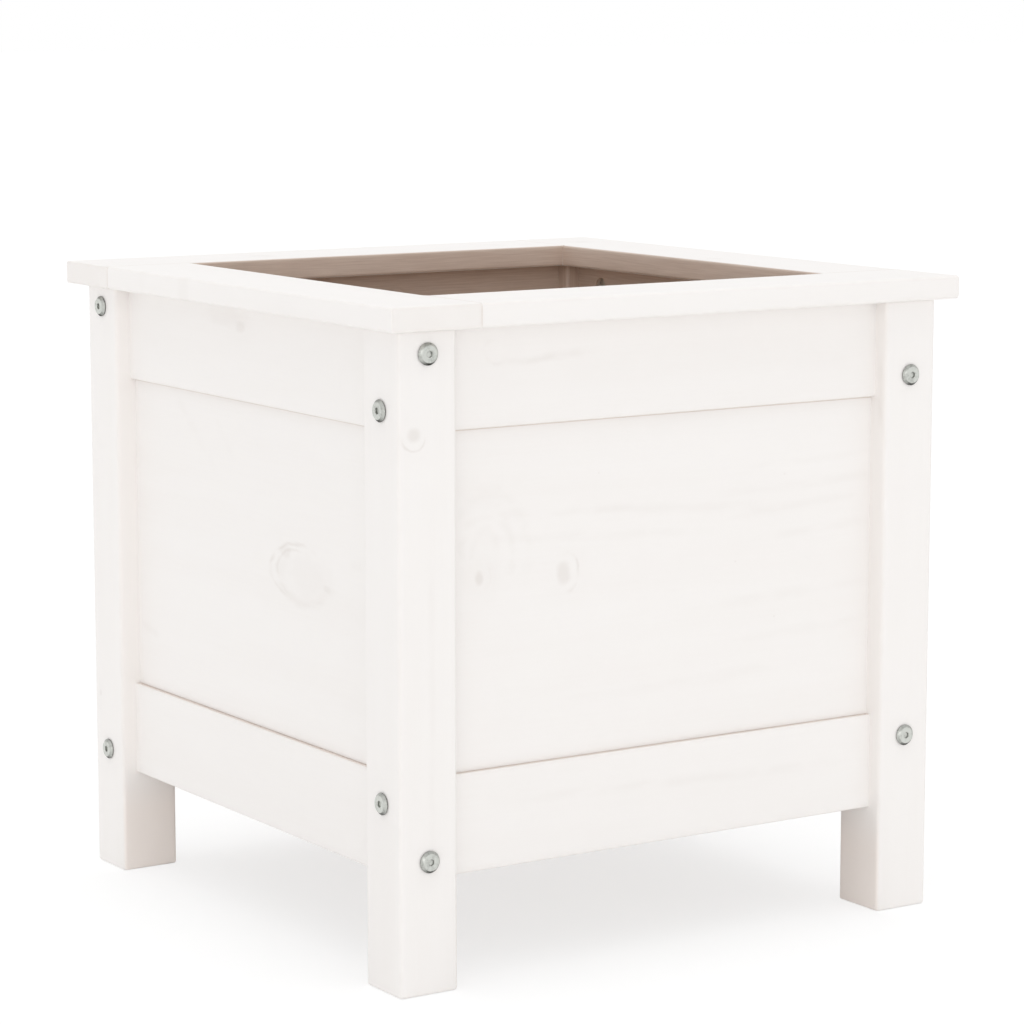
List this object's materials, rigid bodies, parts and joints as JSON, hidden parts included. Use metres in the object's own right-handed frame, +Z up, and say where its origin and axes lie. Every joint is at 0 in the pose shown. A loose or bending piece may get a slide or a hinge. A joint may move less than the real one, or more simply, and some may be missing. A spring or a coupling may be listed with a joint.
{
  "type": "square wooden planter box",
  "caption": "Square planter box of painted wood: corner legs bolted to grooved rails with infill panels, a flat overhanging rim and a slatted base.",
  "frame": {"origin": "centre of the footprint on the floor, in the plane of the feet", "axes": "+Z up through the open top, +X to the right and -Y towards the front; all four sides are alike, turned by quarter turns about +Z"},
  "size_m": [0.4, 0.4, 0.39],
  "materials": {
    "painted_wood": "warm white satin paint over planed softwood, with faint grain and knots showing",
    "zinc_steel": "zinc-plated steel, satin"
  },
  "bodies": {
    "root": {"leg_front_left": "painted_wood", "top_rail_front": "painted_wood", "bottom_rail_front": "painted_wood", "panel_front": "painted_wood", "rim_board_front": "painted_wood", "leg_front_right": "painted_wood", "top_rail_right": "painted_wood", "bottom_rail_right": "painted_wood", "panel_right": "painted_wood", "rim_board_right": "painted_wood", "leg_back_right": "painted_wood", "top_rail_back": "painted_wood", "bottom_rail_back": "painted_wood", "panel_back": "painted_wood", "rim_board_back": "painted_wood", "leg_back_left": "painted_wood", "top_rail_left": "painted_wood", "bottom_rail_left": "painted_wood", "panel_left": "painted_wood", "rim_board_left": "painted_wood", "cleat_front": "painted_wood", "cleat_back": "painted_wood", "base_slat_1": "painted_wood", "base_slat_2": "painted_wood", "base_slat_3": "painted_wood", "base_slat_4": "painted_wood", "base_slat_5": "painted_wood", "bolt_front_top_left": "zinc_steel", "barrel_nut_front_top_left": "zinc_steel", "bolt_front_top_right": "zinc_steel", "barrel_nut_front_top_right": "zinc_steel", "bolt_front_bottom_left": "zinc_steel", "barrel_nut_front_bottom_left": "zinc_steel", "bolt_front_bottom_right": "zinc_steel", "barrel_nut_front_bottom_right": "zinc_steel", "bolt_right_top_left": "zinc_steel", "barrel_nut_right_top_left": "zinc_steel", "bolt_right_top_right": "zinc_steel", "barrel_nut_right_top_right": "zinc_steel", "bolt_right_bottom_left": "zinc_steel", "barrel_nut_right_bottom_left": "zinc_steel", "bolt_right_bottom_right": "zinc_steel", "barrel_nut_right_bottom_right": "zinc_steel", "bolt_back_top_left": "zinc_steel", "barrel_nut_back_top_left": "zinc_steel", "bolt_back_top_right": "zinc_steel", "barrel_nut_back_top_right": "zinc_steel", "bolt_back_bottom_left": "zinc_steel", "barrel_nut_back_bottom_left": "zinc_steel", "bolt_back_bottom_right": "zinc_steel", "barrel_nut_back_bottom_right": "zinc_steel", "bolt_left_top_left": "zinc_steel", "barrel_nut_left_top_left": "zinc_steel", "bolt_left_top_right": "zinc_steel", "barrel_nut_left_top_right": "zinc_steel", "bolt_left_bottom_left": "zinc_steel", "barrel_nut_left_bottom_left": "zinc_steel", "bolt_left_bottom_right": "zinc_steel", "barrel_nut_left_bottom_right": "zinc_steel"}
  },
  "joints": []
}
